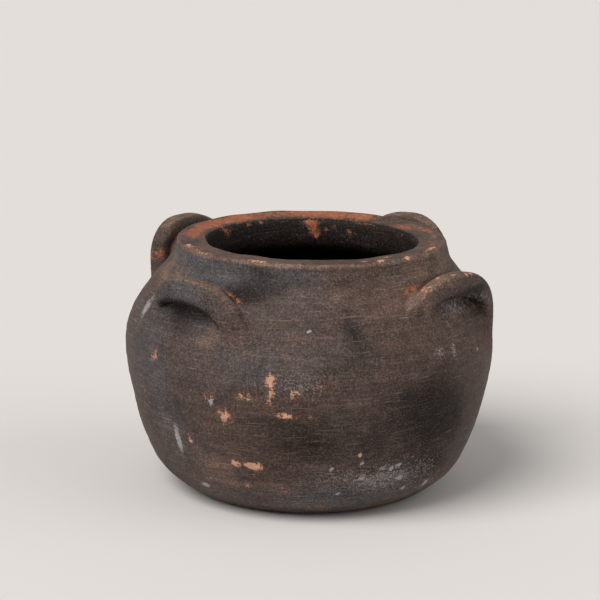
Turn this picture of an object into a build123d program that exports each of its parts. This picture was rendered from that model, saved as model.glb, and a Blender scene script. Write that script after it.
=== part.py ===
from build123d import *

import math
import os

# A squat black clay cooking pot with a thick flat lip and four ear-shaped lugs on its shoulder.
# It is a hand-built pot: a foot disc, three wall courses, a neck collar and a lip ring stand on each
# other with bevelled joints, and each lug is a bent roll of clay with a web pressed in under its arch.
# Millimetres, +Z up, origin at the centre of the face that the pot stands on, -Y at the front.

# Overall sizes
POT_HEIGHT = 194.0
BELLY_RADIUS = 141.5
FOOT_RADIUS = 85.0
WALL_THICKNESS = 14.0
FLOOR_THICKNESS = 16.0

# Outside of the wall, as radius and height: the turn above the foot, the belly, the shoulder and the neck
OUTER_POINTS = [
    (FOOT_RADIUS, 0.0),
    (111.0, 15.5),
    (128.5, 50.0),
    (BELLY_RADIUS - 0.6, 99.0),
    (136.0, 137.0),
    (116.5, 165.0),
]
OUTER_START = (1.0, 0.1)
OUTER_TIGHTNESS = (1.0, 0.7)

# Inside of the wall, from the underside of the lip down to the floor
INNER_POINTS = [
    (106.0, 154.0),
    (121.0, 135.0),
    (BELLY_RADIUS - WALL_THICKNESS, 106.0),
    (114.0, 52.0),
    (99.0, 29.0),
    (83.0, 19.0),
    (60.0, FLOOR_THICKNESS),
]
INNER_START = (1.0, -0.35)

# Lip: a broad flat ring that falls slightly towards the mouth
LIP_RADIUS = 102.5
LIP_SIDE_HEIGHT = 187.0
LIP_FALL = 3.0
LIP_OUTER_ROUND = 5.0
LIP_INNER_ROUND = 3.0
MOUTH_RADIUS = 79.0
THROAT_HEIGHT = 167.0
THROAT_ROUND = 8.0

# Cuts between the courses: radius and height on the outside of the wall, and the rise of the bevel per mm
# towards the axis. A bevel runs inward for BEVEL_RUN, which takes it right through the wall.
UNDER_FOOT = (FOOT_RADIUS, -30.0, 0.0)
FOOT_JOINT = (107.5, 12.5, 0.5)
LOWER_JOINT = (131.5, 62.0, 0.5)
BELLY_JOINT = (139.8, 112.0, 0.5)
SHOULDER_JOINT = (128.5, 148.0, 0.3)
LIP_JOINT = (107.5, 176.0, 0.0)
OVER_LIP = (LIP_RADIUS, POT_HEIGHT + 30.0, 0.0)
BEVEL_RUN = 40.0
COURSES = {
    "foot_disc": (UNDER_FOOT, FOOT_JOINT),
    "lower_wall": (FOOT_JOINT, LOWER_JOINT),
    "belly_wall": (LOWER_JOINT, BELLY_JOINT),
    "shoulder_wall": (BELLY_JOINT, SHOULDER_JOINT),
    "neck_collar": (SHOULDER_JOINT, LIP_JOINT),
    "lip_ring": (LIP_JOINT, OVER_LIP),
}
CUT_REACH = BELLY_RADIUS + 10.0
DISHED_COURSES = ("shoulder_wall", "neck_collar")

# Lugs: direction in degrees from +X, crest height, and the points that the roll of clay runs through,
# from its left end to its right end as seen from outside. Each point is across, up and out from the
# middle of the roll at the crest. The ends bend in until they lie under the face of the shoulder.
LUGS = {
    "lug_front_left": (
        -132.0,
        178.5,
        [(-51, -35, -15), (-44, -24, -10), (-34, -8, -7), (-20, -2, -2.5), (0, 0, 0)]
        + [(14, -2, -1.5), (27, -10, -5.5), (37, -19, -8.5), (47, -34, -15)],
    ),
    "lug_front_right": (
        -31.0,
        180.5,
        [(-50, -21, -18), (-40, -12.5, -13), (-29, -5.5, -8), (-15, -0.5, -2.5), (0, 0, 0)]
        + [(14, -2, 0.5), (29, -8, 1), (38.5, -20, 1), (41.5, -42, -4)],
    ),
    "lug_back_right": (
        50.5,
        193.2,
        [(-36, -45, -13), (-33, -28, -6), (-27, -12, -3), (-14, -1.5, -0.5), (0, 0, 0)]
        + [(13, -1, -0.5), (27, -8, -4.5), (37, -25, -10), (41, -46, -18)],
    ),
    "lug_back_left": (
        143.0,
        193.8,
        [(-48, -44, -19), (-41, -24, -10), (-30, -9, -5.5), (-15, -1, -1.5), (0, 0, 0)]
        + [(13, -0.5, 0), (23, -8, 0), (26.5, -22, -1), (28, -44, -7)],
    ),
}
ARCH_RADIUS = 125.0
ARCH_LEAN = 5.0
ROLL_DEPTH = 16.0
CREST_WIDTH = 20.0
END_WIDTH = 14.0
WEB_OUTSIDE = 122.0
WEB_INSIDE = 117.0
WEB_REACH = 30.0

# The shallow dish that fingers hook into under each lug: half its length round the pot and half its width
# as a long rounded solid, how deep that dips into the shoulder, and where its middle is
DISH_LENGTH = 90.0
DISH_WIDTH = 28.0
DISH_DEPTH = 5.5
DISH_RADIUS = 126.2
DISH_HEIGHT = 152.5
DISH_SLOPE = 36.0

os.makedirs("parts", exist_ok=True)

# Cross-section of the wall, with x as the radius and y as the height
with BuildSketch() as wall_section:
    with BuildLine():
        outer = Spline(
            *OUTER_POINTS,
            (LIP_RADIUS, LIP_SIDE_HEIGHT),
            tangents=[OUTER_START, (0.0, 1.0)],
            tangent_scalars=OUTER_TIGHTNESS,
        )
        lip = Polyline(
            outer @ 1,
            (LIP_RADIUS, POT_HEIGHT),
            (MOUTH_RADIUS, POT_HEIGHT - LIP_FALL),
            (MOUTH_RADIUS, THROAT_HEIGHT),
        )
        inner = Spline(lip @ 1, *INNER_POINTS, tangents=[INNER_START, (-1.0, 0.0)])
        Polyline(inner @ 1, (0.0, FLOOR_THICKNESS), (0.0, 0.0), outer @ 0)
    make_face()
    throat = wall_section.vertices().sort_by_distance((MOUTH_RADIUS, THROAT_HEIGHT))[0]
    fillet(throat, THROAT_ROUND)
    mouth = wall_section.vertices().sort_by_distance((MOUTH_RADIUS, POT_HEIGHT))[0]
    fillet(mouth, LIP_INNER_ROUND)
    lip_edge = wall_section.vertices().sort_by_distance((LIP_RADIUS, POT_HEIGHT))[0]
    fillet(lip_edge, LIP_OUTER_ROUND)

# The solids that press the finger dishes into the shoulder
with BuildPart() as dish:
    rise = math.radians(DISH_SLOPE)
    clear = DISH_WIDTH - DISH_DEPTH
    middle = (DISH_RADIUS + clear * math.cos(rise), 0.0, DISH_HEIGHT + clear * math.sin(rise))
    with BuildSketch(Plane(origin=middle, x_dir=(0, 1, 0), z_dir=(1, 0, 0))):
        with BuildLine():
            EllipticalCenterArc((0.0, 0.0), DISH_LENGTH, DISH_WIDTH, start_angle=0.0, arc_size=180.0)
            Line((-DISH_LENGTH, 0.0), (DISH_LENGTH, 0.0))
        make_face()
    revolve(axis=Axis(middle, (0, 1, 0)))
dishes = [dish.part.rotate(Axis.Z, direction) for direction, _, _ in LUGS.values()]

# The outside of the pot as one filled solid, which gives each lug the face that it sits on
with BuildPart() as pot_form:
    with BuildSketch(Plane.XZ):
        with BuildLine():
            add(outer)
            Polyline(outer @ 1, (LIP_RADIUS, POT_HEIGHT), (0.0, POT_HEIGHT), (0.0, 0.0), outer @ 0)
        make_face()
    revolve(axis=Axis.Z)
    add(dishes, mode=Mode.SUBTRACT)


def cut_points(cut):
    """Points of a cut, from the axis to beyond the wall: flat inside the pot, then down the bevel."""
    wall_radius, wall_height, rise = cut
    inner_height = wall_height + rise * BEVEL_RUN
    outer_height = wall_height - rise * (CUT_REACH - wall_radius)
    return [(0.0, inner_height), (wall_radius - BEVEL_RUN, inner_height), (CUT_REACH, outer_height)]


def wall_course(name, bottom, top):
    """One course of clay: the wall's section between two bevelled cuts, turned about the pot's axis."""
    with BuildPart() as course:
        with BuildSketch(Plane.XZ):
            add(wall_section.sketch)
            with BuildLine():
                Polyline(*cut_points(bottom), *reversed(cut_points(top)), close=True)
            make_face(mode=Mode.INTERSECT)
        revolve(axis=Axis.Z)
        if name in DISHED_COURSES:
            add(dishes, mode=Mode.SUBTRACT)
    course.part.label = name
    return course


def arch_plane(direction, crest):
    """The plane that a lug's roll is bent in: its top leans in, and its origin is the crest's middle."""
    turn = math.radians(direction)
    lean = math.radians(ARCH_LEAN)
    outward = Vector(math.cos(turn), math.sin(turn), 0.0)
    upward = Vector(0.0, 0.0, 1.0)
    return Plane(
        origin=outward * ARCH_RADIUS + upward * (crest - CREST_WIDTH / 2),
        x_dir=upward.cross(outward),
        z_dir=outward * math.cos(lean) + upward * math.sin(lean),
    )


def lug_web(plane, points):
    """The curved wall of clay under a lug's roll, cut out of a ring about the pot's axis."""
    with BuildPart() as web:
        with BuildSketch(plane.offset(-WEB_REACH)):
            with BuildLine():
                under_roll = Spline(*[(across, up) for across, up, _ in points])
                Line(under_roll @ 1, under_roll @ 0)
            make_face()
        extrude(amount=2 * WEB_REACH)
        with BuildSketch():
            Circle(WEB_OUTSIDE)
            Circle(WEB_INSIDE, mode=Mode.SUBTRACT)
        extrude(amount=POT_HEIGHT, mode=Mode.INTERSECT)
    return web.part


def shoulder_lug(name, direction, crest, points):
    """A lug: a roll of clay that thins towards its ends, the web under it, less the pot's shape."""
    plane = arch_plane(direction, crest)
    with BuildPart() as lug:
        with BuildLine(plane) as roll:
            Spline(*points)
        for place, width in ((0.0, END_WIDTH), (0.5, CREST_WIDTH), (1.0, END_WIDTH)):
            with BuildSketch(Plane(origin=roll.line @ place, x_dir=plane.z_dir, z_dir=roll.line % place)):
                Ellipse(ROLL_DEPTH / 2, width / 2)
        sweep(path=roll.line, multisection=True)
        add(lug_web(plane, points))
        add(pot_form.part, mode=Mode.SUBTRACT)
    lug.part.label = name
    return lug


for course_name, (lower_cut, upper_cut) in COURSES.items():
    finished = wall_course(course_name, lower_cut, upper_cut)
    export_step(finished.part, f"parts/{course_name}.step")

for lug_name, shape in LUGS.items():
    finished = shoulder_lug(lug_name, *shape)
    export_step(finished.part, f"parts/{lug_name}.step")
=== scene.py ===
import math

import bpy
import numpy as np
from mathutils import Matrix, Vector


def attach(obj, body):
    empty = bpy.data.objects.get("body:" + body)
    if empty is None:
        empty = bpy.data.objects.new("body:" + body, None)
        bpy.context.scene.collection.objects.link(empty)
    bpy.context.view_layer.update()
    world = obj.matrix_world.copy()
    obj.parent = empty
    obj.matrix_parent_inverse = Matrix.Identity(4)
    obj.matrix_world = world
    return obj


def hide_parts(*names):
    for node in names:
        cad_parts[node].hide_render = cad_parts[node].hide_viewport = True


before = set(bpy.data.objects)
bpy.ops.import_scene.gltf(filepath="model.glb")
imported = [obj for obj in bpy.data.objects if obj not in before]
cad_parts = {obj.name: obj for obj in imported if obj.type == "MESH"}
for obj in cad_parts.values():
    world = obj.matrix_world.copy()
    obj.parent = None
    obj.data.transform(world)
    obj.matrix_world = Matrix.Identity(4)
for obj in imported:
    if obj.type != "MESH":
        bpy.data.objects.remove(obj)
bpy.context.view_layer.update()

# A smoke-blackened clay cooking pot with a thick lip and four ear-shaped lugs on its shoulder.
# Shapes are worked out in millimetres and scaled to metres when the meshes are made. The pot stands on
# z = 0 with its axis on Z; directions round it are in degrees from +X, so the front is at -90.

MM = 0.001
RANDOM = np.random.RandomState(41)

# ----------------------------------------------------------------------
# Camera, floor and light
# ----------------------------------------------------------------------

CAMERA_PLACE = (0.0, -1.641, 0.524)
CAMERA_LENS = 132.0
CAMERA_DOWN = 13.09
CAMERA_LEFT = 0.25
CAMERA_TILT = 0.76

SURROUND_COLOUR = (1.0, 0.975, 0.955, 1.0)
SURROUND_STRENGTH = 0.4
# Where each soft light comes from, its strength, and how many degrees wide it is
LIGHTS = {"key": ((-0.95, -1.0, 1.5), 3.0, 42.0), "fill": ((1.2, -0.35, 0.55), 0.9, 60.0)}
LIGHT_COLOUR = (1.0, 0.98, 0.96)
FLOOR_REACH = 8.0
FLOOR_COLOUR = (0.64, 0.62, 0.605, 1.0)


def add_camera():
    """The camera at the photograph's viewing angle: turned left, looking down, and tilted a little."""
    data = bpy.data.cameras.new("camera")
    data.lens = CAMERA_LENS
    data.sensor_width = 36.0
    camera = bpy.data.objects.new("camera", data)
    turn = Matrix.Rotation(math.radians(CAMERA_LEFT), 4, "Z")
    down = Matrix.Rotation(math.radians(90.0 - CAMERA_DOWN), 4, "X")
    tilt = Matrix.Rotation(math.radians(CAMERA_TILT), 4, "Z")
    camera.matrix_world = Matrix.Translation(CAMERA_PLACE) @ turn @ down @ tilt
    bpy.context.scene.collection.objects.link(camera)
    bpy.context.scene.camera = camera


def add_studio():
    """A pale floor, an even pale surround, a large soft light from the upper left in front, and a weak one
    from the right."""
    world = bpy.data.worlds.new("studio")
    world.use_nodes = True
    background = world.node_tree.nodes["Background"]
    background.inputs["Color"].default_value = SURROUND_COLOUR
    background.inputs["Strength"].default_value = SURROUND_STRENGTH
    bpy.context.scene.world = world
    bpy.context.scene.view_settings.view_transform = "Standard"

    for name, (place, strength, width) in LIGHTS.items():
        data = bpy.data.lights.new(name, "SUN")
        data.energy = strength
        data.angle = math.radians(width)
        data.color = LIGHT_COLOUR
        light = bpy.data.objects.new(name, data)
        light.location = place
        light.rotation_euler = Vector(place).to_track_quat("Z", "Y").to_euler()
        bpy.context.scene.collection.objects.link(light)

    floor_mesh = bpy.data.meshes.new("floor")
    corners = [(x * FLOOR_REACH, y * FLOOR_REACH, 0.0) for x, y in ((-1, -1), (1, -1), (1, 1), (-1, 1))]
    floor_mesh.from_pydata(corners, [], [(0, 1, 2, 3)])
    floor = bpy.data.objects.new("floor", floor_mesh)
    bpy.context.scene.collection.objects.link(floor)
    material = bpy.data.materials.new("pale_floor")
    material.use_nodes = True
    shader = material.node_tree.nodes["Principled BSDF"]
    shader.inputs["Base Color"].default_value = FLOOR_COLOUR
    shader.inputs["Roughness"].default_value = 0.8
    floor_mesh.materials.append(material)


# ----------------------------------------------------------------------
# Section of the wall
# ----------------------------------------------------------------------

# Outside of the wall, as height and radius, from the turn above the foot up to the side of the lip
OUTER_FACE = [
    (6.0, 99.0), (15.5, 111.0), (31.0, 121.2), (50.0, 128.7), (73.0, 135.0), (97.0, 139.6), (116.0, 140.3),
    (138.0, 134.6), (154.0, 125.2), (165.0, 116.4), (175.0, 108.3), (182.0, 104.3), (187.0, 102.7),
]
# Turns between straight or curved runs, each as its start, its corner and its end, in radius and height
FOOT_TURN = [(83.0, 0.0), (90.0, 0.0), (99.0, 6.0)]
LIP_TURN = [(102.7, 187.0), (102.0, 192.6), (96.5, 192.3)]
MOUTH_TURN = [(84.5, 191.7), (79.8, 191.5), (79.3, 187.0)]
# Inside of the wall, from the mouth's side down to the middle of the floor
INNER_FACE = [
    (79.3, 187.0), (78.6, 178.0), (79.6, 170.0), (88.0, 162.5), (106.0, 151.5), (120.0, 134.5),
    (126.6, 110.0), (124.0, 80.0), (114.0, 52.0), (99.0, 29.0), (82.0, 19.0), (62.0, 16.2), (36.0, 16.0),
    (0.0, 16.0),
]
# Joints between the courses: radius and height on the outside of the wall, and rise per mm going inward
JOINTS = [
    (107.5, 12.5, 0.5), (131.5, 62.0, 0.5), (139.8, 112.0, 0.5), (128.5, 148.0, 0.3), (107.5, 176.0, 0.0),
]
COURSES = ["foot_disc", "lower_wall", "belly_wall", "shoulder_wall", "neck_collar", "lip_ring"]

AROUND = 360
OUTER_STEP = 1.7
LIP_STEP = 0.8
INNER_STEP = 4.0
MOUTH_STEP = 2.0
JOINT_ROWS = 5
FINE = 0.1
TURN_POINTS = 80
INNER_POINTS = 3000
KNOT_POWER = 0.7


def cubic_curve(knots, values):
    """A natural cubic spline through values at knots, as a function of a number or an array."""
    knots, values = np.asarray(knots, float), np.asarray(values, float)
    step = np.diff(knots)
    count = len(knots)
    rows = np.eye(count)
    right = np.zeros((count,) + values.shape[1:])
    slope = (np.diff(values, axis=0).T / step).T
    for i in range(1, count - 1):
        rows[i, i - 1 : i + 2] = step[i - 1], 2 * (step[i - 1] + step[i]), step[i]
        right[i] = 3 * (slope[i] - slope[i - 1])
    bend = np.linalg.solve(rows, right)

    def curve(at):
        at = np.asarray(at, float)
        i = np.clip(np.searchsorted(knots, at) - 1, 0, count - 2)
        u = at - knots[i]
        h = step[i]
        if values.ndim > 1:
            u, h = u[..., None], h[..., None]
        first = slope[i] - h * (2 * bend[i] + bend[i + 1]) / 3
        return values[i] + first * u + bend[i] * u**2 + (bend[i + 1] - bend[i]) / (3 * h) * u**3

    return curve


def turn_points(turn):
    """Points of a rounded turn, a quadratic curve from its start to its end that leans on its corner."""
    start, corner, end = np.array(turn)
    u = np.linspace(0.0, 1.0, TURN_POINTS)[:, None]
    return start * (1 - u) ** 2 + 2 * corner * u * (1 - u) + end * u**2


def even_points(points, step):
    """The same line with points at an even step."""
    points = points[np.r_[True, np.hypot(*np.diff(points, axis=0).T) > 1e-6]]
    along = np.r_[0.0, np.cumsum(np.hypot(*np.diff(points, axis=0).T))]
    count = max(2, int(round(along[-1] / step)) + 1)
    at = np.linspace(0.0, along[-1], count)
    return np.column_stack([np.interp(at, along, points[:, 0]), np.interp(at, along, points[:, 1])])


outer_radius = cubic_curve(*zip(*OUTER_FACE))
heights = np.arange(OUTER_FACE[0][0], OUTER_FACE[-1][0] + FINE / 2, FINE)
outer_line = even_points(
    np.vstack([
        [(0.0, 0.0)],
        turn_points(FOOT_TURN),
        np.column_stack([outer_radius(heights), heights]),
        turn_points(LIP_TURN),
        turn_points(MOUTH_TURN),
    ]),
    FINE,
)
inner_knots = np.r_[0.0, np.cumsum(np.hypot(*np.diff(np.array(INNER_FACE), axis=0).T) ** KNOT_POWER)]
inner_curve = cubic_curve(inner_knots, INNER_FACE)
inner_line = even_points(inner_curve(np.linspace(0.0, inner_knots[-1], INNER_POINTS)), FINE)

# ----------------------------------------------------------------------
# Unevenness left by hand building
# ----------------------------------------------------------------------


def smooth_step(value, low, high):
    """0 below low, 1 above high, and a smooth rise between."""
    t = np.clip((value - low) / (high - low), 0.0, 1.0)
    return t * t * (3 - 2 * t)


def random_waves(count, turns, wavelengths, size):
    """Waves over direction and height: turns round the pot, wavelength in height, phase and size."""
    return [
        (RANDOM.randint(*turns), 2 * math.pi / RANDOM.uniform(*wavelengths) * RANDOM.choice([-1, 1]),
         RANDOM.uniform(0, 2 * math.pi), size * RANDOM.uniform(0.5, 1.0))
        for _ in range(count)
    ]


HAND_WAVES = random_waves(9, (2, 9), (60.0, 150.0), 0.16)
PADDLE_WAVES = random_waves(14, (8, 26), (16.0, 45.0), 0.045)
STROKE_WAVES = random_waves(10, (1, 5), (6.0, 14.0), 0.035)
FINGER_WAVES = random_waves(16, (5, 22), (18.0, 60.0), 0.16)
LIP_WAVES = random_waves(8, (3, 17), (200.0, 400.0), 0.11)
# Shallow dishes that fingers hook into under the lugs: direction, height, half width in radians, half
# height and depth
DISHES = [
    (-130.0, 149.5, 0.22, 16.0, 5.2), (-29.0, 152.5, 0.20, 13.0, 5.6), (50.5, 152.0, 0.19, 13.0, 5.2),
    (143.0, 152.0, 0.19, 13.0, 5.2),
]
# How far the rim and the belly lie to the right of the foot, the most that the waves may add, the share of
# them left at the foot and lost at the mouth, and the heights or radii between which each region begins
RIM_SHIFT = 0.8
BELLY_SHIFT = 0.25
BULGE_LIMIT = 0.75
FOOT_SHARE = 0.25
MOUTH_LOSS = 0.8
RIM_RISE = (120.0, 190.0)
FOOT_RISE = (0.0, 25.0)
INNER_RIM_RISE = (150.0, 185.0)
INNER_FLOOR_RISE = (14.0, 30.0)
MIDDLE_FADE = (0.0, 60.0)
# The lip's top: heights between which it begins, its middle and half its width, and how far its outer edge
# stands above its middle: this much at the sides and twice as much at the back, with some more on the right
LIP_RISE = (176.0, 191.0)
LIP_MIDDLE = 91.0
LIP_HALF_WIDTH = 11.5
LIP_FALL = 0.95
RIGHT_FALL = 0.25
RIGHT_FALL_TURN = 0.4


def wave_sum(waves, turn, height):
    return sum(size * np.cos(k * turn + q * height + phase) for k, q, phase, size in waves)


def turned_from(turn, direction):
    """Angle from a direction in degrees, between -pi and pi."""
    return (turn - math.radians(direction) + math.pi) % (2 * math.pi) - math.pi


def outer_bulge(turn, height):
    """How far the outer face lies outside its section at a direction and height."""
    rim = smooth_step(height, *RIM_RISE)
    foot = smooth_step(height, *FOOT_RISE)
    waves = wave_sum(HAND_WAVES, turn, height) + wave_sum(PADDLE_WAVES, turn, height)
    waves += wave_sum(STROKE_WAVES, turn, height)
    shaped = BULGE_LIMIT * np.tanh(waves / BULGE_LIMIT)
    shift = (BELLY_SHIFT * (1 - rim) * foot + RIM_SHIFT * rim) * np.cos(turn)
    dish = sum(
        depth * np.exp(-((turned_from(turn, direction) / width) ** 2) - ((height - level) / reach) ** 2)
        for direction, level, width, reach, depth in DISHES
    )
    return shift + shaped * (FOOT_SHARE + (1 - FOOT_SHARE) * foot) - dish


def inner_bulge(turn, height):
    """The same for the inner face, which has more finger marks and follows the lip's shift at the mouth."""
    rim = smooth_step(height, *INNER_RIM_RISE)
    deep = smooth_step(height, *INNER_FLOOR_RISE) * (1 - MOUTH_LOSS * rim)
    return RIM_SHIFT * rim * np.cos(turn) + wave_sum(FINGER_WAVES, turn, height) * deep


def lip_lift(turn, radius, height):
    """How far the lip's top is raised: flat at the front, and falling to the mouth at the back."""
    top = smooth_step(height, *LIP_RISE)
    fall = LIP_FALL * (1 + np.sin(turn)) + RIGHT_FALL * np.cos(turn + RIGHT_FALL_TURN)
    return top * (fall * (radius - LIP_MIDDLE) / LIP_HALF_WIDTH + wave_sum(LIP_WAVES, turn, radius))


def place(turn, radius, height, inner):
    """Points of the pot in millimetres, from directions and places in the wall's section."""
    bulge = np.where(inner, inner_bulge(turn, height), outer_bulge(turn, height))
    fade = smooth_step(radius, *MIDDLE_FADE)
    wide = radius + bulge * fade
    high = height + lip_lift(turn, radius, height)
    return np.stack([wide * np.cos(turn), wide * np.sin(turn), high + 0.0 * turn], axis=-1)


# ----------------------------------------------------------------------
# Meshes
# ----------------------------------------------------------------------


def make_piece(name, points, faces, corner_normals, material, nodes):
    """A mesh object from points in mm, faces and one normal for each face corner, riding on the pot."""
    mesh = bpy.data.meshes.new(name)
    mesh.from_pydata((points * MM).tolist(), [], faces)
    mesh.polygons.foreach_set("use_smooth", [True] * len(mesh.polygons))
    mesh.update()
    mesh.normals_split_custom_set(corner_normals.tolist())
    mesh.materials.append(material)
    piece = bpy.data.objects.new(name, mesh)
    bpy.context.scene.collection.objects.link(piece)
    add_marks(mesh, points)
    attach(piece, "root")
    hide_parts(*nodes)
    return piece


def sign_change(values):
    """Index of the last value before the first change of sign."""
    return int(np.flatnonzero(np.sign(values[1:]) != np.sign(values[:-1]))[0])


def section_rows():
    """Rows of the section for every course, outer ones upward and inner ones downward, with shared ends."""
    lip_start = int(np.argmax(outer_line[:, 1] > LIP_TURN[0][1]))
    outer_cuts, inner_cuts = [0], [len(inner_line) - 1]
    for radius, height, rise in JOINTS:
        outer_cuts.append(sign_change(outer_line[:, 1] - height))
        inner_cuts.append(sign_change(inner_line[:, 1] - height - rise * (radius - inner_line[:, 0])))
    outer_runs, inner_runs = [], []
    for i in range(len(JOINTS)):
        outer_runs.append(even_points(outer_line[outer_cuts[i] : outer_cuts[i + 1] + 1], OUTER_STEP))
        inner_runs.append(even_points(inner_line[inner_cuts[i + 1] : inner_cuts[i] + 1], INNER_STEP))
    side = even_points(outer_line[outer_cuts[-1] : lip_start + 1], OUTER_STEP)
    outer_runs.append(np.vstack([side, even_points(outer_line[lip_start:], LIP_STEP)[1:]]))
    inner_runs.append(even_points(inner_line[: inner_cuts[-1] + 1], MOUTH_STEP))
    return outer_runs, inner_runs


def row_normals(rows, turn, inner):
    """Surface normals at the rows' points, from small steps along the section and round the pot."""
    step_along, step_round = 0.02, 1e-4
    ahead = np.gradient(rows, axis=0)
    ahead /= np.maximum(np.hypot(*ahead.T), 1e-9)[:, None]
    radius, height = rows[:, 0][:, None], rows[:, 1][:, None]
    out, up = ahead[:, 0][:, None] * step_along, ahead[:, 1][:, None] * step_along
    along = place(turn, radius + out, height + up, inner) - place(turn, radius - out, height - up, inner)
    around = place(turn + step_round, radius, height, inner)
    around -= place(turn - step_round, radius, height, inner)
    normals = np.cross(around, along)
    length = np.linalg.norm(normals, axis=-1, keepdims=True)
    return normals / np.maximum(length, 1e-12)


def build_courses():
    """The pot's rings, each closed by its outer face, its inner face and its joints with its neighbours."""
    outer_runs, inner_runs = section_rows()
    turn = np.linspace(0.0, 2 * math.pi, AROUND, endpoint=False)[None, :]
    outer_all = np.vstack([outer_runs[0]] + [run[1:] for run in outer_runs[1:]])
    inner_all = np.vstack([inner_runs[-1]] + [run[1:] for run in reversed(inner_runs[:-1])])
    outer_points = place(turn, outer_all[:, 0][:, None], outer_all[:, 1][:, None], False)
    outer_normals = row_normals(outer_all, turn, False)
    inner_points = place(turn, inner_all[:, 0][:, None], inner_all[:, 1][:, None], True)
    inner_normals = row_normals(inner_all, turn, True)
    outer_points[0], inner_points[-1] = (0.0, 0.0, 0.0), (0.0, 0.0, INNER_FACE[-1][1])
    outer_normals[0], inner_normals[-1] = (0.0, 0.0, -1.0), (0.0, 0.0, 1.0)

    outer_start = 0
    inner_stop = len(inner_all)
    for i, name in enumerate(COURSES):
        outer_stop = outer_start + len(outer_runs[i])
        inner_start = inner_stop - len(inner_runs[i])
        outer = outer_points[outer_start:outer_stop], outer_normals[outer_start:outer_stop]
        inner = inner_points[inner_start:inner_stop], inner_normals[inner_start:inner_stop]
        build_course(name, outer, inner, closed_low=i > 0, closed_high=i < len(COURSES) - 1)
        outer_start = outer_stop - 1
        inner_stop = inner_start + 1


def build_course(name, outer, inner, closed_low, closed_high):
    """One ring. closed_low and closed_high say whether it meets another course below and above."""
    # flat_after holds the rows that a joint's flat faces start from
    between = np.linspace(0.0, 1.0, JOINT_ROWS)[1:-1, None, None]
    rows, normals, flat_after = list(outer[0]), list(outer[1]), set()
    if closed_high:
        flat_after.update(range(len(rows) - 1, len(rows) + JOINT_ROWS - 2))
        joint = outer[0][-1] * (1 - between) + inner[0][0] * between
        rows += list(joint)
        normals += [outer[1][-1]] * len(joint)
        rows += list(inner[0])
        normals += list(inner[1])
    else:
        rows += list(inner[0][1:])
        normals += list(inner[1][1:])
    if closed_low:
        flat_after.update(range(len(rows) - 1, len(rows) + JOINT_ROWS - 2))
        joint = inner[0][-1] * (1 - between) + outer[0][0] * between
        rows += list(joint)
        normals += [outer[1][0]] * len(joint)
    points, normals = np.array(rows), np.array(normals)
    count = len(points)
    last = count if closed_low else count - 1
    index = np.arange(count * AROUND).reshape(count, AROUND)
    vertices = points.reshape(-1, 3)
    vertex_normals = normals.reshape(-1, 3)
    faces, corner_normals = [], []
    for row in range(last):
        low, high = index[row], index[(row + 1) % count]
        quads = np.column_stack([low, np.roll(low, -1), np.roll(high, -1), high])
        if not closed_low and row == 0:
            quads = np.column_stack([np.full(AROUND, low[0]), np.roll(high, -1), high])
        elif not closed_low and row == last - 1:
            quads = np.column_stack([low, np.roll(low, -1), np.full(AROUND, high[0])])
        faces += quads.tolist()
        if row in flat_after:
            start = vertices[quads[:, 0]]
            flat = np.cross(vertices[quads[:, 1]] - start, vertices[quads[:, -1]] - start)
            flat /= np.linalg.norm(flat, axis=1, keepdims=True)
            corner_normals.append(np.repeat(flat, quads.shape[1], axis=0))
        else:
            corner_normals.append(vertex_normals[quads.ravel()])
    corner_normals = np.vstack(corner_normals)
    if not closed_low:
        used = np.ones(len(vertices), bool)
        used[index[0, 1:]] = used[index[-1, 1:]] = False
        renumber = np.cumsum(used) - 1
        faces = [[int(renumber[v]) for v in face] for face in faces]
        vertices = vertices[used]
    material = CLAY["lip"] if name == "lip_ring" else CLAY["body"]
    make_piece(name + "_clay", vertices, faces, corner_normals, material, [name])


# ----------------------------------------------------------------------
# Lugs
# ----------------------------------------------------------------------

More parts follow.
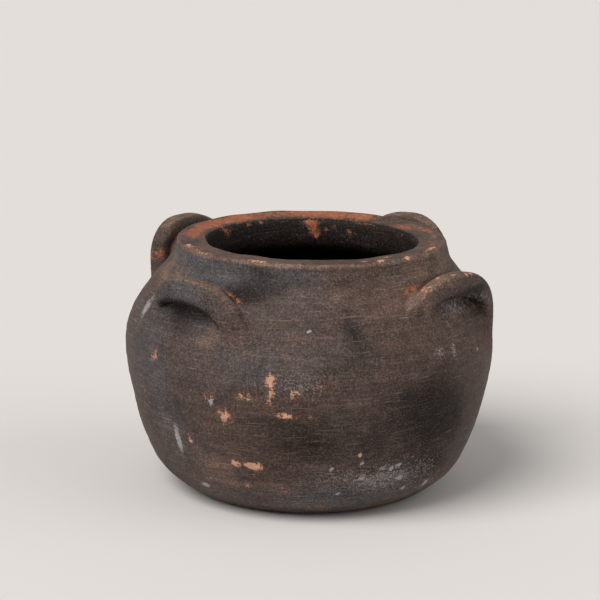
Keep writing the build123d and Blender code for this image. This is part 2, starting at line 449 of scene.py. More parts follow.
# Each lug's direction and crest height, and the points that its roll of clay runs through, from the left
# end to the right end as seen from outside: across, up from the crest's middle, and out from there, then
# half the roll's width and half its depth
LUGS = {
    "lug_front_left": (-132.0, 178.5, [
        (-54, -46, -16, 6, 7), (-50, -35, -11, 6, 7), (-44.5, -24.5, -9.5, 6, 7), (-39.5, -15, -9, 6, 7),
        (-33, -7.5, -5, 7, 8), (-22, -2.4, -1.5, 8.6, 8.4), (-10, 0, 0.5, 9.6, 8.6), (3, 0.2, 1, 9.8, 8.6),
        (14, -2, 0, 9.8, 8.6), (25, -8.5, -3.5, 9.6, 8.4), (33.5, -15.5, -5.5, 9.4, 8),
        (41, -24, -8.5, 9, 7.4), (47, -34, -13, 8.5, 7), (51, -44, -18, 8, 7),
    ]),
    "lug_front_right": (-31.0, 180.5, [
        (-58, -27, -21, 7, 7), (-49, -20, -17, 7, 7), (-40, -12.5, -13, 7.5, 7), (-31, -6.5, -9, 8, 7.5),
        (-21, -1.5, -4.5, 8.5, 8), (-10, 0.3, -1, 9.3, 8), (2, 0, 0, 9.5, 8), (13, -2, 0.5, 9.5, 8),
        (25, -5.5, 1, 9, 8), (34, -12, 1.5, 8, 8), (38.5, -20, 1.5, 7, 7.5), (40.5, -29, 0.5, 6.5, 7.5),
        (41.5, -39, -1.5, 6.5, 7), (42, -50, -5, 6.5, 7),
    ]),
    "lug_back_right": (50.5, 193.1, [
        (-36, -46, -12, 7.5, 7), (-34.5, -36, -8, 8, 7.5), (-32, -24, -5, 8.5, 8), (-27.5, -13, -3, 9, 8),
        (-18, -3.5, -1, 9.5, 8), (-8, 0, 0, 10, 8), (2, 0.2, 0, 10, 8), (12, -1, -0.5, 10, 8),
        (23, -5, -3, 9.5, 8), (31, -12, -6, 9, 8), (36, -22, -9, 8.5, 7.5), (39, -34, -12, 8, 7),
        (41, -46, -17, 7.5, 7),
    ]),
    "lug_back_left": (143.0, 193.3, [
        (-48, -44, -18, 7.5, 7), (-44, -32, -13, 8, 7), (-39, -20, -9, 8.5, 7.5), (-31, -10, -6, 9, 8),
        (-20, -3, -2.5, 9.5, 8), (-8, 0, 0, 10, 8), (4, 0.5, 0, 10, 8), (14, -0.5, 0, 10, 8),
        (21, -5, 0, 9.5, 8), (25, -13, 0, 9, 8), (26.5, -23, -1, 8.5, 8), (27.5, -34, -3, 8, 7.5),
        (28, -46, -7, 7.5, 7),
    ]),
}
ARCH_RADIUS = 125.0
ARCH_LEAN = 5.0
ROLL_TOP = 10.0
WEB_OUTSIDE = 121.4
WEB_INSIDE = 117.0
# How far the clay is smeared on to the wall, at the ends of the roll and as a share of that on its outside,
# where each begins, and how tight the crease behind the lug is
SMEAR = 13.0
OUTSIDE_SMEAR = 0.3
SMEAR_DOWN = (13.0, 34.0)
SMEAR_OUTWARD = (-8.0, 0.0)
SMEAR_OFF_ARCH = (-5.0, 5.0)
CREASE = 4.0
UNDERCUT = 2.4
BOXINESS = 3.0
HIDDEN_DEPTH = 1.5
HIDDEN_SINK = 0.03
LUG_GRID = 1.2
PATH_POINTS = 41
# How far a lug's box goes past the ends of its roll, below and above its crest, and in and out
LUG_PAST_ENDS = 26
LUG_HEIGHTS = (-70, 14)
LUG_DEPTHS = (-32, 14)
# How often a lug's points are pulled on to its field, how far at most, the least squared slope that counts
# in that, and how deep the lug's hidden part begins
PULLS = 5
LONGEST_PULL = 0.5
LEAST_SQUARE = 0.25
HIDDEN_BELOW = 0.3

# How much of a level distance from the wall counts, because the wall slants
body_heights = np.arange(0.0, 230.0, 0.25)
body_radii = outer_radius(np.clip(body_heights, OUTER_FACE[0][0], OUTER_FACE[-1][0]))
body_slant = 1 / np.sqrt(1 + np.gradient(body_radii, body_heights) ** 2)


def body_field(p):
    """Distance outside the pot's outer face, negative inside, good near the face."""
    turn, height = np.arctan2(p[..., 1], p[..., 0]), p[..., 2]
    radius = np.hypot(p[..., 0], p[..., 1])
    face = outer_radius(np.clip(height, OUTER_FACE[0][0], OUTER_FACE[-1][0])) + outer_bulge(turn, height)
    return (radius - face) * np.interp(height, body_heights, body_slant)


def soft_union(a, b, reach):
    """Smooth minimum of two fields, which differs from the lower one only where they are within reach."""
    h = np.maximum(reach - np.abs(a - b), 0.0) / reach
    return np.minimum(a, b) - h**3 * reach / 6


class Lug:
    """The field of one lug and of the pot with it."""

    def __init__(self, direction, crest, path):
        turn, lean = math.radians(direction), math.radians(ARCH_LEAN)
        outward, up = np.array([math.cos(turn), math.sin(turn), 0.0]), np.array([0.0, 0.0, 1.0])
        self.origin = outward * ARCH_RADIUS + up * (crest - ROLL_TOP)
        self.side = np.cross(up, outward)
        self.out = outward * math.cos(lean) + up * math.sin(lean)
        self.up = np.cross(self.out, self.side)
        path = np.array(path, float)
        along = np.r_[0.0, np.cumsum(np.linalg.norm(np.diff(path[:, :2], axis=0), axis=1))]
        self.path = cubic_curve(along, path)(np.linspace(0.0, along[-1], PATH_POINTS))

    def roll_and_web(self, p):
        """The bent roll of clay, and the web that closes it under its arch."""
        q = p - self.origin
        t, w, n = q @ self.side, q @ self.up, q @ self.out
        nearest = np.full(t.shape, 1e9)
        roll = np.full(t.shape, 1e9)
        under = np.zeros(t.shape, bool)
        for a, b in zip(self.path[:-1], self.path[1:]):
            dt, dw = b[0] - a[0], b[1] - a[1]
            u = np.clip(((t - a[0]) * dt + (w - a[1]) * dw) / (dt * dt + dw * dw), 0.0, 1.0)
            square = (t - a[0] - u * dt) ** 2 + (w - a[1] - u * dw) ** 2
            closer = square < nearest
            middle, width, depth = (a[k] + u * (b[k] - a[k]) for k in (2, 3, 4))
            oval = (square / width**2) ** (BOXINESS / 2) + np.abs((n - middle) / depth) ** BOXINESS
            here = (oval ** (1 / BOXINESS) - 1) * np.sqrt(width * depth)
            roll = np.where(closer, here, roll)
            nearest = np.where(closer, square, nearest)
            under ^= ((t >= min(a[0], b[0])) & (t < max(a[0], b[0]))) & (w < a[1] + (t - a[0]) * dw / dt)
        arch = np.where(under, -1.0, 1.0) * np.sqrt(nearest)
        radius = np.hypot(p[..., 0], p[..., 1])
        web = np.abs(radius - (WEB_OUTSIDE + WEB_INSIDE) / 2) - (WEB_OUTSIDE - WEB_INSIDE) / 2
        return soft_union(roll, np.maximum(web, arch), UNDERCUT), n, w, arch

    def fields(self, p):
        """The pot's field alone, the lug's alone, and the two joined."""
        body = body_field(p)
        ear, n, w, arch = self.roll_and_web(p)
        outside = smooth_step(n, *SMEAR_OUTWARD) * smooth_step(arch, *SMEAR_OFF_ARCH)
        spread = np.maximum(OUTSIDE_SMEAR * outside, smooth_step(-w, *SMEAR_DOWN))
        reach = CREASE + (SMEAR - CREASE) * spread
        return body, ear, soft_union(body, ear, reach)

    def solid(self, p):
        """The lug's visible piece: what it adds to the pot, and a thin hidden layer under that."""
        body, ear, joined = self.fields(p)
        return np.maximum(np.maximum(joined + HIDDEN_SINK, -body - HIDDEN_DEPTH), ear - SMEAR)

    def joined(self, p):
        return self.fields(p)[2]


def slope_of(field, p, step=0.05):
    """Gradient of a field by central differences."""
    slope = np.empty_like(p)
    for axis in range(3):
        offset = np.zeros(3)
        offset[axis] = step
        slope[:, axis] = (field(p + offset) - field(p - offset)) / (2 * step)
    return slope


def surface_net(field, low, high, step):
    """A closed quad mesh of the surface where a field is zero, in a box that holds all of it."""
    axes = [np.arange(a, b + step, step) for a, b in zip(low, high)]
    grid = np.stack(np.meshgrid(*axes, indexing="ij"), axis=-1)
    value = field(grid.reshape(-1, 3)).reshape(grid.shape[:3])
    inside = value < 0
    shape = np.array(value.shape) - 1
    total, crossings = np.zeros((*shape, 3)), np.zeros(shape)
    corner = [np.array(c) for c in np.ndindex(2, 2, 2)]

    def window(array, c):
        return array[c[0] : c[0] + shape[0], c[1] : c[1] + shape[1], c[2] : c[2] + shape[2]]

    for a in corner:
        for axis in range(3):
            if a[axis] == 0:
                b = a.copy()
                b[axis] = 1
                va, vb = window(value, a), window(value, b)
                cut = (va < 0) != (vb < 0)
                u = np.where(cut, va / np.where(cut, va - vb, 1.0), 0.0)
                spot = np.broadcast_to(a.astype(float), (*shape, 3)).copy()
                spot[..., axis] += u
                total += spot * cut[..., None]
                crossings += cut
    cells = np.argwhere(crossings > 0)
    number = np.full(shape, -1)
    number[tuple(cells.T)] = np.arange(len(cells))
    inner = total[tuple(cells.T)] / crossings[tuple(cells.T)][:, None]
    points = np.array(low) + (cells + inner) * step
    faces = []
    for axis in range(3):
        one, two = (axis + 1) % 3, (axis + 2) % 3
        size = [slice(1, s) for s in shape]
        size[axis] = slice(0, shape[axis])
        ahead = list(size)
        ahead[axis] = slice(1, shape[axis] + 1)
        here, there = inside[tuple(size)], inside[tuple(ahead)]
        start = np.array([s.start for s in size])
        for flip, mask in ((False, here & ~there), (True, ~here & there)):
            at = np.argwhere(mask) + start
            ring = []
            for d1, d2 in ((-1, -1), (0, -1), (0, 0), (-1, 0)):
                cell = at.copy()
                cell[:, one] += d1
                cell[:, two] += d2
                ring.append(number[tuple(cell.T)])
            quads = np.column_stack(ring if not flip else ring[::-1])
            faces.append(quads)
    return points, np.vstack(faces)


def build_lug(name, direction, crest, path):
    """One lug as a closed mesh, pulled on to its field, with the joined surface's own normals."""
    lug = Lug(direction, crest, path)
    corners = np.array([
        lug.origin + lug.side * t + lug.up * w + lug.out * n
        for t in (path[0][0] - LUG_PAST_ENDS, path[-1][0] + LUG_PAST_ENDS)
        for w in LUG_HEIGHTS
        for n in LUG_DEPTHS
    ])
    points, faces = surface_net(lug.solid, corners.min(axis=0), corners.max(axis=0), LUG_GRID)
    for _ in range(PULLS):
        value, slope = lug.solid(points), slope_of(lug.solid, points)
        move = -value[:, None] * slope / np.maximum((slope**2).sum(axis=1), LEAST_SQUARE)[:, None]
        length = np.linalg.norm(move, axis=1, keepdims=True)
        points = points + move * np.minimum(1.0, LONGEST_PULL / np.maximum(length, 1e-9))
    normals = slope_of(lug.joined, points)
    normals /= np.maximum(np.linalg.norm(normals, axis=1, keepdims=True), 1e-9)
    hidden = lug.joined(points) < -HIDDEN_BELOW
    flat = slope_of(lug.solid, points)
    flat /= np.maximum(np.linalg.norm(flat, axis=1, keepdims=True), 1e-9)
    normals[hidden] = flat[hidden]
    corner_normals = normals[faces.ravel()]
    make_piece(name + "_clay", points, faces.tolist(), corner_normals, CLAY["lug"], [name])


# ----------------------------------------------------------------------
# Wear marks, smoke-blackening, painted highlights and painted shade
# ----------------------------------------------------------------------

# Each table gives soft spots on the pot's side as direction, height, half width, half height and strength.
# Black surface worn through to orange clay:
WORN_SPOTS = [
    (-100.9, 116.7, 5.5, 6.0, 1.4), (-100.9, 105.0, 3.5, 10.0, 1.1), (-108.8, 101.6, 9.0, 4.5, 1.05),
    (-93.8, 106.4, 6.5, 5.5, 1.05), (-87.1, 112.6, 11.0, 4.5, 1.0), (-115.7, 84.9, 7.0, 7.5, 1.45),
    (-96.7, 89.5, 11.0, 3.5, 1.3), (-89.0, 90.0, 3.0, 3.0, 1.0), (-121.0, 98.0, 9.0, 5.0, 0.95),
    (-114.2, 47.6, 5.0, 3.2, 2.0), (-107.5, 47.2, 7.5, 3.8, 2.3), (-130.9, 60.0, 3.0, 4.5, 1.5),
    (-73.1, 57.6, 2.2, 2.8, 1.9), (-143.6, 119.5, 8.0, 8.0, 1.2), (-151.4, 90.0, 4.5, 9.0, 1.15),
    (-112.0, 30.0, 14.0, 5.0, 0.9), (-97.0, 27.0, 18.0, 6.0, 0.85), (-51.0, 170.0, 10.0, 4.0, 1.0),
    (-45.4, 172.9, 7.0, 2.6, 0.95), (-39.0, 152.6, 2.4, 2.4, 0.9), (-102.0, 102.0, 40.0, 20.0, 0.25),
    (159.5, 168.0, 6.0, 5.0, 1.25), (156.5, 161.0, 6.5, 4.5, 1.2), (154.0, 155.0, 7.0, 4.5, 1.3),
    (60.0, 120.0, 12.0, 5.0, 1.0), (95.0, 70.0, 16.0, 9.0, 0.9), (130.0, 104.0, 7.0, 5.0, 1.2),
    (12.0, 88.0, 9.0, 7.0, 1.0), (160.0, 55.0, 10.0, 6.0, 1.0),
]
# The same in the creases behind the lugs:
CREASE_SPOTS = [
    (-125.0, 171.0, 6.0, 2.0, 0.9), (-120.5, 168.0, 6.0, 2.2, 1.3), (-116.5, 165.0, 5.0, 2.4, 1.2),
    (-111.0, 162.0, 7.0, 3.0, 0.7), (157.0, 170.0, 10.0, 7.0, 1.4), (164.0, 163.0, 9.0, 6.0, 1.3),
    (38.0, 172.0, 8.0, 6.0, 0.9),
]
# Painted shade in the same creases:
CREASE_SHADE_SPOTS = [(-118.0, 168.0, 22.0, 6.0, 1.0), (-42.0, 166.0, 20.0, 6.0, 0.7)]
# Pale layer from rubbing, and granular grey; the first spot, left of the front-left lug, is a painted
# highlight:
PALE_SPOTS = [
    (-158.5, 146.0, 6.0, 11.0, 1.0), (-136.5, 57.0, 3.0, 13.0, 1.5), (-120.1, 94.3, 1.8, 2.6, 1.8),
    (-40.6, 127.5, 3.5, 9.0, 0.72), (-46.6, 128.5, 6.0, 6.0, 0.65), (-129.6, 22.5, 4.0, 1.8, 1.8),
    (-26.5, 121.6, 1.4, 1.4, 2.2), (-90.0, 149.6, 0.8, 0.8, 2.4), (-66.0, 34.0, 26.0, 11.0, 0.45),
    (-38.0, 20.0, 26.0, 9.0, 0.42), (-44.0, 38.0, 20.0, 8.0, 0.2), (-82.0, 40.0, 26.0, 10.0, 0.35),
    (-92.0, 112.0, 22.0, 12.0, 0.45), (-95.0, 12.0, 50.0, 6.0, 0.4), (40.0, 60.0, 20.0, 14.0, 0.7),
    (110.0, 130.0, 8.0, 16.0, 0.9), (-52.0, 42.0, 36.0, 20.0, 0.35), (-72.0, 51.0, 1.2, 1.0, 2.4),
    (-64.5, 45.0, 1.3, 0.9, 2.2), (-61.0, 43.5, 1.1, 1.0, 2.4), (-58.5, 45.5, 1.2, 1.0, 2.4),
    (-71.5, 38.0, 1.0, 1.3, 2.2), (-56.5, 34.0, 1.4, 1.2, 2.4), (-53.0, 23.5, 1.6, 1.0, 2.2),
    (-41.5, 22.5, 1.6, 1.6, 2.4), (-82.0, 47.0, 0.9, 0.9, 2.0), (-79.0, 25.5, 1.0, 1.0, 2.0),
]
# Lighter brown from wear, and painted light in some spots:
# Painted highlights and reflected light: the spots at the left edge and the right side of the neck,
# at the left end and in the dish of the front-right lug, and low on the front and right of the base
RUBBED_AND_LIT_SPOTS = [
    (-166.0, 170.0, 26.0, 13.0, 1.2), (-150.0, 172.0, 12.0, 7.0, 0.7), (-122.5, 138.0, 13.0, 9.0, 1.3),
    (-104.0, 141.0, 16.0, 12.0, 0.35), (-80.0, 171.0, 26.0, 8.0, 0.55), (-92.0, 124.0, 22.0, 10.0, 0.8),
    (-58.0, 150.0, 26.0, 16.0, 0.5), (-31.0, 148.5, 12.0, 6.5, 1.8), (-47.0, 160.0, 9.0, 8.0, 1.1),
    (-108.0, 52.0, 28.0, 14.0, 0.4), (-112.0, 31.0, 36.0, 13.0, 0.5), (-26.0, 20.0, 30.0, 9.0, 0.9),
    (-30.0, 183.0, 40.0, 10.0, 1.5), (-60.0, 167.0, 24.0, 12.0, 0.6), (-80.0, 12.0, 90.0, 7.0, 0.7),
    (-122.0, 44.0, 15.0, 12.0, 1.0), (-16.0, 112.0, 8.0, 24.0, 0.6), (75.0, 165.0, 40.0, 12.0, 0.8),
    (165.0, 120.0, 26.0, 18.0, 0.5), (30.0, 95.0, 30.0, 16.0, 0.5),
]
# Thick smoke-blackening; the spots under the rolls of the two front lugs and on the right of the belly are
# painted shade:
SOOT_AND_SHADE_SPOTS = [
    (-46.0, 76.0, 42.0, 36.0, 1.2), (-54.0, 100.0, 24.0, 20.0, 0.4), (-138.0, 150.0, 26.0, 10.0, 0.9),
    (-26.0, 164.0, 24.0, 5.0, 1.3), (-90.0, 70.0, 44.0, 24.0, 0.8), (-74.0, 179.0, 30.0, 5.0, 0.3),
    (-76.0, 150.0, 11.0, 24.0, 0.7), (-150.0, 80.0, 30.0, 26.0, 0.3), (-155.0, 16.0, 36.0, 16.0, 0.6),
    (-44.0, 38.0, 20.0, 12.0, 0.8), (-106.0, 175.0, 28.0, 11.0, 0.7), (-128.0, 158.0, 22.0, 7.0, 0.45),
    (-112.0, 186.0, 34.0, 5.0, 0.4), (-138.0, 129.0, 18.0, 14.0, 0.35), (75.0, 95.0, 60.0, 34.0, 0.9),
    (155.0, 70.0, 50.0, 30.0, 0.6),
]
# Cool slate-grey surface:
COOL_SPOTS = [
    (-150.0, 182.0, 50.0, 9.0, 1.0), (-134.0, 161.0, 32.0, 14.0, 1.0), (-148.0, 120.0, 44.0, 34.0, 0.8),
    (-104.0, 120.0, 44.0, 17.0, 0.7), (-143.0, 58.0, 32.0, 34.0, 0.6), (-105.0, 184.0, 40.0, 6.0, 0.7),
    (-38.0, 158.0, 14.0, 8.0, 0.7), (-82.0, 20.0, 80.0, 14.0, 0.9), (20.0, 150.0, 50.0, 30.0, 0.8),
    (120.0, 90.0, 60.0, 40.0, 0.7),
]
# Pebbly clay that was never smoothed:
PEBBLY_SPOTS = [
    (-25.5, 154.0, 15.0, 7.0, 1.9), (-38.0, 151.0, 4.0, 7.0, 1.0), (50.5, 156.0, 14.0, 6.0, 1.2),
]
# Orange on the back wall of the mouth:
MOUTH_SPOTS = [
    (90.3, 187.5, 8.0, 3.0, 1.5), (88.3, 182.8, 5.0, 4.5, 1.6), (86.3, 177.0, 3.0, 3.5, 1.3),
    (81.0, 182.5, 3.2, 2.2, 1.4), (76.0, 185.0, 3.0, 2.2, 1.2), (67.6, 182.4, 4.0, 2.2, 1.2),
    (66.0, 179.0, 2.6, 2.2, 1.1), (57.0, 189.0, 10.0, 1.5, 1.4), (43.9, 175.0, 1.4, 1.4, 1.5),
    (56.0, 172.0, 1.4, 2.0, 1.2), (146.0, 187.5, 8.0, 3.0, 1.2), (145.0, 183.0, 4.0, 4.0, 0.8),
    (127.5, 188.5, 3.0, 2.0, 1.4), (119.2, 188.5, 2.6, 2.0, 1.4), (30.0, 186.0, 9.0, 3.0, 0.8),
    (-100.0, 184.0, 30.0, 4.0, 0.8),
]
# Orange on the flat top of the lip: direction, radius, half length in degrees, half width and strength.
# The negative one keeps its black.
LIP_SPOTS = [
    (177.0, 90.0, 18.0, 9.0, 1.35), (152.0, 89.0, 18.0, 10.0, 1.35), (128.0, 91.0, 18.0, 11.0, 1.25),
    (99.0, 94.0, 18.0, 12.0, 1.4), (78.0, 92.0, 14.0, 11.0, 1.45), (61.0, 92.0, 9.0, 10.0, 1.35),
    (32.0, 86.0, 10.0, 7.0, 1.5), (18.0, 95.0, 9.0, 5.0, 1.25), (-156.0, 98.0, 7.0, 3.0, 1.3),
    (-140.0, 100.5, 10.0, 2.5, 1.15), (-113.0, 99.5, 6.0, 2.4, 1.5), (-90.0, 100.5, 12.0, 1.6, 0.9),
    (-66.0, 96.0, 3.0, 4.0, 1.4), (-59.0, 99.0, 3.0, 2.6, 1.7), (-52.0, 92.0, 3.0, 2.4, 1.5),
    (-45.6, 101.0, 1.8, 3.5, 1.8), (-25.0, 99.0, 9.0, 2.5, 1.4), (-10.0, 92.0, 18.0, 8.0, 0.95),
    (107.0, 100.5, 5.0, 4.0, -2.6),
]
# Orange on the crests of the lugs: direction, how far out from the pot's axis, half width, half length
# and strength
CREST_SPOTS = [
    (-35.0, 127.5, 4.5, 2.6, 1.35), (-28.5, 130.5, 2.2, 2.0, 1.5), (-25.5, 131.0, 3.4, 2.0, 1.5),
    (-39.0, 121.0, 8.0, 2.2, 1.0), (-122.0, 121.0, 10.0, 4.0, 0.8), (-136.0, 127.0, 8.0, 4.0, 0.7),
    (52.0, 125.0, 10.0, 5.0, 1.0), (140.0, 124.0, 10.0, 5.0, 1.0),
]
# Where one region gives way to the next: radii for the mouth's wall and the creases behind the lugs,
# heights for the lip's top, the floor and the lugs' crests, and distance in from the outer face
MOUTH_WALL = (83.0, 88.0)
CREASE_RADII = (117.0, 120.0)
LIP_TOP = (188.5, 191.0)
FLOOR_RISE = (8.0, 12.0)
CREST_RISE = (172.0, 176.0)
INSIDE_GAP = (8.0, 10.0)
# The lip's two edges, with wear and a painted highlight: radius, half width, and the heights between which
# each begins
LIP_EDGE_HIGHLIGHTS = [(101.6, 1.6, 187.0, 190.0), (80.3, 1.2, 187.5, 190.5)]
# How far down a lug's surface has to face to get painted shade, and how far up to get a painted highlight
FACING_DOWN = (0.05, 0.75)
FACING_UP = (0.6, 0.95)
FRONT_SIDE = (0.0, 40.0)
# Strength of the painted shade on the lugs' down-facing surfaces
UNDER_SHADE = 0.9
# How much darker the inside of the pot is made
INSIDE_DARKENING = 1.6
# Strength of the painted highlight on the lugs' up-facing surfaces
UPPER_HIGHLIGHT = 2.2
# Strength of the painted light on the lip's top
LIP_TOP_LIGHT = 0.5


def spot_field(away, off, spots):
    """Sum of soft oval spots. away(spot) and off(spot) are distances from a spot as shares of its size."""
    return sum(spot[4] * np.exp(-(away(spot) ** 2) - off(spot) ** 2) for spot in spots)


def add_marks(mesh, points):
    """Stores where each kind of mark lies as numbers on the mesh, which the clay's nodes read."""
    turn, height = np.arctan2(points[:, 1], points[:, 0]), points[:, 2]
    radius = np.hypot(points[:, 0], points[:, 1])

    def sideways(spot):
        return turned_from(turn, spot[0]) * radius / spot[2]

    def upward(spot):
        return (height - spot[1]) / spot[3]

    def round_lip(spot):
        return turned_from(turn, spot[0]) / math.radians(spot[2])

    def outward(spot):
        return (radius - spot[1]) / spot[3]

    top = smooth_step(height, *LIP_TOP)
    face = outer_radius(np.clip(height, OUTER_FACE[0][0], OUTER_FACE[-1][0]))
    inside = smooth_step(face - radius, *INSIDE_GAP) * smooth_step(height, *FLOOR_RISE) * (1 - top)
    outside = (1 - inside) * (1 - top)
    mouth = inside * (1 - smooth_step(radius, *MOUTH_WALL))
    on_lug = float(mesh.name.startswith("lug"))
    crest = on_lug * smooth_step(height, *CREST_RISE)

    near_pot = 1 - smooth_step(radius, *CREASE_RADII)
    # Wear and painted highlights along the lip's outer and inner edges
    lip_edge_highlights = sum(
        np.exp(-(((radius - edge) / half_width) ** 2)) * smooth_step(height, low, high)
        for edge, half_width, low, high in LIP_EDGE_HIGHLIGHTS
    )
    worn = spot_field(sideways, upward, WORN_SPOTS) * outside
    worn += spot_field(sideways, upward, CREASE_SPOTS) * near_pot * outside
    worn += spot_field(sideways, upward, MOUTH_SPOTS) * mouth
    worn += spot_field(round_lip, outward, LIP_SPOTS) * top * (1 - crest)
    worn += spot_field(sideways, outward, CREST_SPOTS) * crest
    facing = np.zeros(len(mesh.vertices) * 3, np.float32)
    mesh.vertex_normals.foreach_get("vector", facing)
    # Painted shade on lug surfaces that face down, and a painted highlight on those that face up
    under = UNDER_SHADE * smooth_step(-facing[2::3], *FACING_DOWN) * on_lug
    upper = UPPER_HIGHLIGHT * smooth_step(facing[2::3], *FACING_UP) * on_lug
    # Smoke-black spots, some of them painted shade, and painted shade in the creases behind the lugs
    soot_and_shade = spot_field(sideways, upward, SOOT_AND_SHADE_SPOTS) + spot_field(sideways, upward, CREASE_SHADE_SPOTS) * near_pot
    # Lighter brown spots, some of them painted highlights and reflected light, and painted light on the
    # lip's top
    rubbed_and_lit = spot_field(sideways, upward, RUBBED_AND_LIT_SPOTS) * outside + LIP_TOP_LIGHT * top * (1 - on_lug)
    front = smooth_step(-points[:, 1], *FRONT_SIDE)
    marks = {
        "worn": worn,
        "pale": spot_field(sideways, upward, PALE_SPOTS) * outside,
        "soot_and_shade": soot_and_shade * outside + INSIDE_DARKENING * inside + under,
        "cool": spot_field(sideways, upward, COOL_SPOTS) * outside,
        "rubbed_and_lit": rubbed_and_lit + upper + lip_edge_highlights,
        "peach": worn * ((outside * (1 - near_pot) + top) * front + crest),
        "pebbly": spot_field(sideways, upward, PEBBLY_SPOTS) * outside,
    }
    for name, values in marks.items():
        layer = mesh.attributes.new(name, "FLOAT", "POINT")
        layer.data.foreach_set("value", values.astype(np.float32))


# ----------------------------------------------------------------------
# Clay
# ----------------------------------------------------------------------


class Nodes:
    """Short calls for building a material's nodes. A value is a socket or a number."""

    def __init__(self, name):
        self.material = bpy.data.materials.new(name)
        self.material.use_nodes = True
        self.tree = self.material.node_tree
        self.shader = self.tree.nodes["Principled BSDF"]

    def put(self, socket, value):
        if isinstance(value, bpy.types.NodeSocket):
            self.tree.links.new(value, socket)
        else:
            socket.default_value = value

    def node(self, kind, inputs, **settings):
        made = self.tree.nodes.new(kind)
        for key, value in settings.items():
            setattr(made, key, value)
        for key, value in inputs.items():
            self.put(made.inputs[key], value)
        return made

    def place(self, scale, tilt=0.0):
        """Position on the pot, turned by a tilt and stretched by a scale for each axis."""
        where = self.node("ShaderNodeTexCoord", {}).outputs["Object"]
        if tilt:
            turned = {"Vector": where, "Rotation": (0.0, tilt, 0.0)}
            where = self.node("ShaderNodeMapping", turned).outputs["Vector"]
        return self.node("ShaderNodeMapping", {"Vector": where, "Scale": scale}).outputs["Vector"]

    def noise(self, scale, detail=4.0, rough=0.55, warp=0.0, stretch=(1.0, 1.0, 1.0), offset=0.0, tilt=0.0):
        """Noise with features of about 1 / scale metres."""
        where = self.place(tuple(s * scale for s in stretch), tilt)
        away = (offset, offset * 0.7, offset * 1.3)
        moved = self.node("ShaderNodeVectorMath", {0: where, 1: away}, operation="ADD").outputs[0]
        inputs = {"Vector": moved, "Scale": 1.0, "Detail": detail, "Roughness": rough, "Distortion": warp}
        return self.node("ShaderNodeTexNoise", inputs).outputs["Fac"]

    def calc(self, operation, a, b):
        return self.node("ShaderNodeMath", {0: a, 1: b}, operation=operation).outputs[0]

    def scale(self, colour, factor):
        """A colour made lighter or darker."""
        return self.node("ShaderNodeVectorMath", {0: colour, 1: factor}, operation="MULTIPLY").outputs[0]

    def fit(self, value, low, high, to_low=0.0, to_high=1.0):
        """Smooth change from to_low to to_high as a value goes from low to high."""
        inputs = {"Value": value, "From Min": low, "From Max": high, "To Min": to_low, "To Max": to_high}
        return self.node("ShaderNodeMapRange", inputs, interpolation_type="SMOOTHSTEP").outputs["Result"]

    def blend(self, amount, a, b):
        """Mix of two colours."""
        made = self.node("ShaderNodeMix", {}, data_type="RGBA")
        self.put(made.inputs[0], amount)
        self.put(made.inputs[6], a if isinstance(a, bpy.types.NodeSocket) else (*a, 1.0))
        self.put(made.inputs[7], b if isinstance(b, bpy.types.NodeSocket) else (*b, 1.0))
        return made.outputs[2]

    def mark(self, name):
        return self.node("ShaderNodeAttribute", {}, attribute_name=name).outputs["Fac"]

    def total(self, *parts):
        """Sum of values, each given as a socket, a number or a pair to multiply."""
        terms = [self.calc("MULTIPLY", *part) if isinstance(part, tuple) else part for part in parts]
        made = terms[0]
        for term in terms[1:]:
            made = self.calc("ADD", made, term)
        return made

    def product(self, *parts):
        made = parts[0]
        for part in parts[1:]:
            made = self.calc("MULTIPLY", made, part)
        return made

    def dots(self, scale, size, share):
        """Round dots round scattered points about 1 / scale metres apart. share of the points have one."""
        where = self.place((scale, scale, scale))
        cells = self.node("ShaderNodeTexVoronoi", {"Vector": where, "Scale": 1.0, "Randomness": 1.0})
        dot = self.fit(cells.outputs["Distance"], size * 0.6, size, 1.0, 0.0)
        number = self.node("ShaderNodeSeparateColor", {"Color": cells.outputs["Color"]}).outputs[0]
        return self.calc("MULTIPLY", dot, self.calc("GREATER_THAN", number, 1.0 - share))


WARM, COOL, SOOT_AND_SHADE = (0.051, 0.0305, 0.0240), (0.050, 0.0460, 0.0490), (0.0090, 0.0062, 0.0054)
RUBBED_AND_LIT, ORANGE, PINK = (0.118, 0.073, 0.054), (0.31, 0.102, 0.048), (0.62, 0.345, 0.235)
ASH_AND_HIGHLIGHT, GRIT, SCORED = (0.38, 0.37, 0.385), (0.50, 0.47, 0.44), (0.30, 0.225, 0.185)
CLAY_IOR = 1.4
BUMP_STRENGTH = 0.6
BUMP_HEIGHT = 0.0007


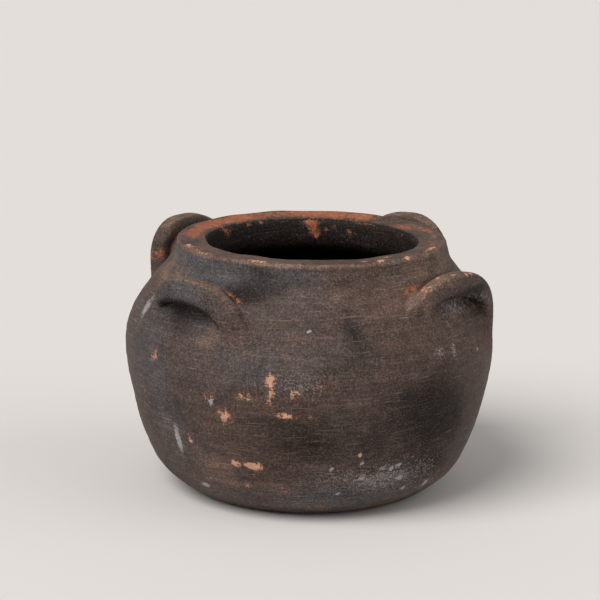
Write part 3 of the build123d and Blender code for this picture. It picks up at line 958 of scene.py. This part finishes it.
class Clay(Nodes):
    """Smoke-blackened burnished clay. Its methods lay one kind of mark after another over its colour."""

    def __init__(self, name):
        """The noises that the methods share."""
        super().__init__(name)
        self.clouds = self.noise(11.0, 4.0, 0.55, 0.6)
        self.blotch = self.noise(42.0, 5.0, 0.65, 0.5, (1.0, 1.0, 1.8), 15.0)
        self.mottle = self.noise(120.0, 6.0, 0.7, 0.2, offset=4.0)
        self.grain = self.noise(750.0, 4.0, 0.8, 0.0)
        self.streaks = self.noise(22.0, 6.0, 0.65, 0.1, (0.5, 0.5, 7.0), 3.0)
        self.fine_streaks = self.noise(70.0, 5.0, 0.7, 0.0, (0.5, 0.5, 9.0), 9.0)
        self.upright = self.noise(60.0, 5.0, 0.7, 0.0, (6.0, 6.0, 0.8), 5.0)
        self.flakes = self.noise(420.0, 5.0, 0.8, 0.3, (0.55, 0.55, 1.5), 2.0)

    def smoke(self):
        """Warm and cool clay with burnishing streaks, lightened by wear and painted highlights, darkened by
        smoke and painted shade.
        """
        cool = self.total((self.mark("cool"), 0.85), (self.clouds, 1.6), -0.72)
        colour = self.blend(self.fit(cool, 0.0, 1.0), WARM, COOL)
        # Lighter worn brown, which also stands for painted highlights and reflected light where the marks
        # put them
        rubbed_and_lit = self.total((self.mark("rubbed_and_lit"), 0.55), (self.blotch, 1.5), (self.clouds, 0.7), -1.22)
        colour = self.blend(self.fit(rubbed_and_lit, -0.05, 0.85, 0.0, 0.9), colour, RUBBED_AND_LIT)
        smoke = self.fit(self.noise(22.0, 5.0, 0.6, 0.4, offset=7.0), 0.45, 0.75)
        # Black from smoke, painted shade under the lugs, in their creases and in some spots, and darker
        # inside the pot
        sooty_and_shaded = self.total((self.mark("soot_and_shade"), 0.95), (smoke, 0.55), (self.blotch, -0.5), 0.22)
        colour = self.blend(self.fit(sooty_and_shaded, 0.0, 1.15, 0.0, 0.96), colour, SOOT_AND_SHADE)
        tone = self.product(
            self.fit(self.streaks, 0.3, 0.7, 0.86, 1.16),
            self.fit(self.fine_streaks, 0.28, 0.72, 0.78, 1.25),
            self.fit(self.upright, 0.3, 0.7, 0.88, 1.13),
            self.fit(self.mottle, 0.3, 0.7, 0.76, 1.27),
            self.fit(self.grain, 0.36, 0.64, 0.5, 1.7),
        )
        return self.scale(colour, tone)

    def scratches(self):
        """Thin level, upright and slanting lines, in patches."""
        level = self.noise(520.0, 4.0, 0.75, 0.0, (0.07, 0.07, 2.0), 21.0, 0.05)
        upturned = self.noise(520.0, 4.0, 0.75, 0.0, (1.6, 1.6, 0.09), 24.0)
        slanted = self.noise(520.0, 4.0, 0.75, 0.0, (0.07, 0.07, 2.0), 27.0, 0.75)
        patches = self.fit(self.noise(30.0, 3.0, 0.6, 0.4, offset=31.0), 0.38, 0.62)
        lines = self.calc("MAXIMUM", self.fit(level, 0.56, 0.7), self.fit(upturned, 0.61, 0.74))
        return self.product(self.calc("MAXIMUM", lines, self.fit(slanted, 0.66, 0.75)), patches)

    def score(self, colour, scratches):
        """Scratches and pale grain, which show least where the clay is blackest."""
        shown = self.fit(self.mark("soot_and_shade"), 0.3, 1.3, 0.6, 0.22)
        colour = self.blend(self.product(scratches, shown), colour, SCORED)
        near = self.fit(self.mark("pale"), 0.0, 0.6, 0.16, 0.9)
        return self.blend(self.product(self.fit(self.grain, 0.54, 0.66), near), colour, SCORED)

    def chips(self, colour):
        """Chips down to orange clay, with a worn lighter brown margin. Gives the colour and where the chips
        are.
        """
        upright_flakes = self.noise(420.0, 5.0, 0.8, 0.3, (1.2, 1.2, 0.5), 13.0)
        flakes = self.total((self.flakes, 1.55), (upright_flakes, 1.55), (self.blotch, 0.4), -1.3)
        depth = self.total(flakes, (self.mark("worn"), 0.46))
        worn = self.fit(depth, 0.94, 1.02)
        peach = self.total(self.noise(300.0, 3.0, 0.6, offset=6.0), (self.mark("peach"), 0.3))
        bare = self.blend(self.fit(peach, 0.5, 1.0), ORANGE, PINK)
        bare = self.scale(bare, self.fit(self.mottle, 0.3, 0.7, 0.7, 1.1))
        colour = self.blend(self.fit(depth, 0.74, 0.96, 0.0, 0.35), colour, RUBBED_AND_LIT)
        return self.blend(self.product(worn, 0.9), colour, bare), worn

    def film_and_highlight(self, colour):
        """Pale layer, which is a painted highlight in one spot, and gritty flecks. Gives the colour and
        where the layer is.
        """
        film_and_highlight = self.fit(self.total(self.mark("pale"), (self.flakes, 1.6), (self.grain, 1.4)), 1.85, 2.6)
        colour = self.blend(self.product(film_and_highlight, 0.65), colour, ASH_AND_HIGHLIGHT)
        flecks = self.calc("MAXIMUM", self.dots(230.0, 0.22, 0.05), self.dots(520.0, 0.36, 0.1))
        near = self.fit(self.mark("pale"), 0.35, 0.8, 0.08, 0.85)
        return self.blend(self.product(flecks, near), colour, GRIT), film_and_highlight

    def finish(self, roughening):
        """Joins colour, roughness, shine and bump. roughening is added to how rough the surface is."""
        scratches = self.scratches()
        colour, worn = self.chips(self.score(self.smoke(), scratches))
        colour, film_and_highlight = self.film_and_highlight(colour)
        pebbles = self.noise(330.0, 4.0, 0.65, 0.3, offset=33.0)
        pebbly = self.mark("pebbly")
        colour = self.blend(self.product(pebbly, self.fit(pebbles, 0.5, 0.62), 0.4), colour, ASH_AND_HIGHLIGHT)
        self.put(self.shader.inputs["Base Color"], colour)

        burnish = self.fit(self.streaks, 0.25, 0.75, 0.5 + roughening, 0.64 + roughening)
        rough = self.total(burnish, (self.mottle, 0.12), (worn, 0.2), (film_and_highlight, 0.1))
        self.put(self.shader.inputs["Roughness"], rough)
        self.put(self.shader.inputs["IOR"], CLAY_IOR)
        shine = self.fit(self.mark("soot_and_shade"), 0.2, 1.2, 0.36, 0.18)
        self.put(self.shader.inputs["Specular IOR Level"], shine)

        height = self.total(
            (self.noise(480.0, 4.0, 0.6), 0.5), (self.fine_streaks, 0.8), (self.grain, 0.35),
            (self.mottle, 0.9), (self.upright, 0.3), (worn, -0.7), (scratches, -0.35),
            self.product(pebbly, pebbles, 4.5),
        )
        relief = {"Height": height, "Strength": BUMP_STRENGTH, "Distance": BUMP_HEIGHT}
        bump = self.node("ShaderNodeBump", relief)
        self.put(self.shader.inputs["Normal"], bump.outputs["Normal"])
        return self.material


add_camera()
add_studio()
CLAY = {
    "body": Clay("burnished_clay").finish(0.0),
    "lip": Clay("worn_lip_clay").finish(0.02),
    "lug": Clay("lug_clay").finish(0.03),
}
build_courses()
for lug_name, lug_shape in LUGS.items():
    build_lug(lug_name, *lug_shape)
